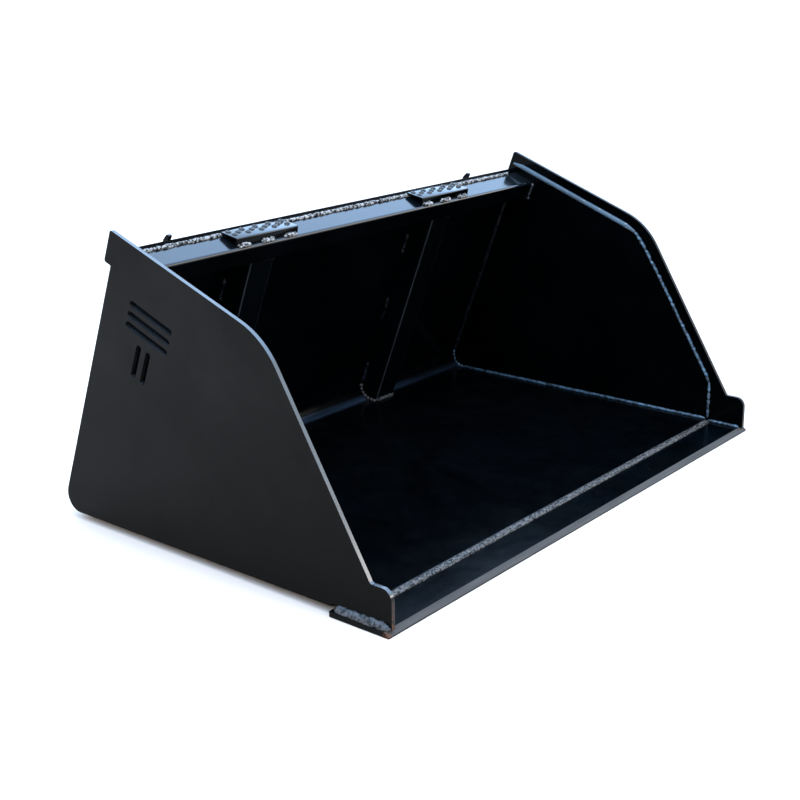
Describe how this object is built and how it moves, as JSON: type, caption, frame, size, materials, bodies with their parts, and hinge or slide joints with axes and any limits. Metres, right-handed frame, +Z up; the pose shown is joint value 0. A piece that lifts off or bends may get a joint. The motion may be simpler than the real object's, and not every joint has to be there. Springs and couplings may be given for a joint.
{
  "type": "skid steer bucket",
  "caption": "Low-profile welded steel loader bucket with a bevelled cutting edge, lined side plates, ribbed leaning back, box-section top rail, grip steps and a quick-attach mount behind.",
  "frame": {"origin": "middle of the bucket's footprint at ground level, under the cutting edge and the wear bars", "axes": "+X across the bucket's width towards its right side seen from in front, +Y to the rear where the loader is, +Z up; the lip faces -Y"},
  "size_m": [1.524, 1.014, 0.6989],
  "materials": {
    "black_paint": "gloss black enamel over welded plate",
    "plate_paint": "satin charcoal black, faintly mottled",
    "worn_edge": "thin paint over rolled wear steel, scuffed at the edges"
  },
  "bodies": {
    "root": {"cutting_edge": "worn_edge", "bucket_shell": "black_paint", "side_plate_left": "plate_paint", "side_plate_right": "plate_paint", "side_liner_left": "black_paint", "side_liner_right": "black_paint", "top_tube": "black_paint", "hook_plate": "black_paint", "mount_ear_left": "black_paint", "mount_ear_right": "black_paint", "mount_pad_left": "black_paint", "mount_pad_right": "black_paint", "lower_mount_lip": "black_paint", "lip_gusset_outer_left": "black_paint", "lip_gusset_outer_right": "black_paint", "lip_gusset_inner_left": "black_paint", "lip_gusset_inner_right": "black_paint", "back_rib_left": "black_paint", "back_rib_right": "black_paint", "step_tread_left": "black_paint", "step_tread_right": "black_paint", "wear_bar_1": "worn_edge", "wear_bar_2": "worn_edge", "wear_bar_3": "worn_edge", "wear_bar_4": "worn_edge"}
  },
  "joints": []
}
